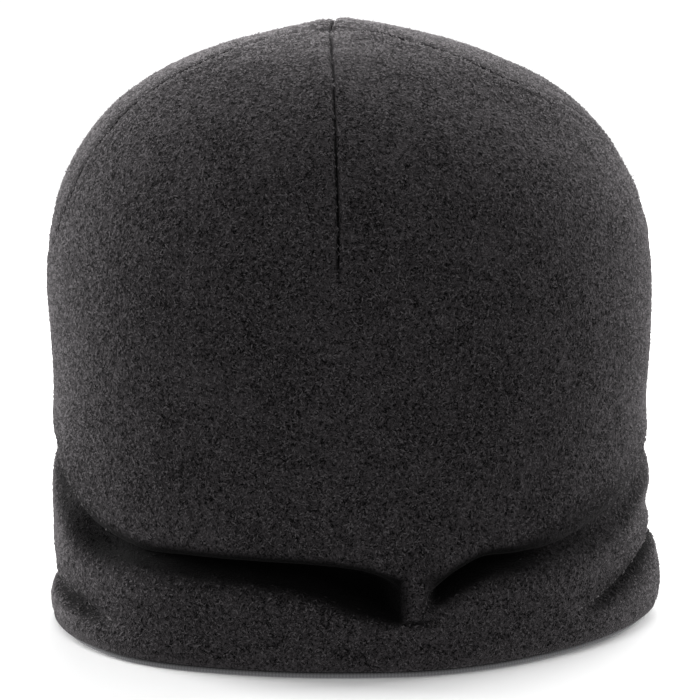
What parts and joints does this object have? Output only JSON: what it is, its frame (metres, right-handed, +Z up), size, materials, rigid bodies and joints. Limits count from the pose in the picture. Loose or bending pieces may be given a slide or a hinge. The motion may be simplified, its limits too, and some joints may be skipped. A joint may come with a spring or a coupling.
{
  "type": "fleece beanie",
  "caption": "Soft close-fitting fleece cap with a domed crown gathered by seams, a slumped lower wall and a faced rim.",
  "frame": {"origin": "on the surface that the cap stands on, under the middle of its box", "axes": "+Z up through the crown, front (the side with the low fold's point) towards -Y, wearer's left ear towards +X"},
  "size_m": [0.1883, 0.1981, 0.182],
  "materials": {
    "brushed_fleece": "thick brushed polyester fleece, matte, with a short mottled pile that catches light at its edges",
    "facing_jersey": "thin smooth knit facing, a little lighter than the fleece"
  },
  "bodies": {
    "root": {"crown": "brushed_fleece", "hem_facing": "facing_jersey"}
  },
  "joints": []
}
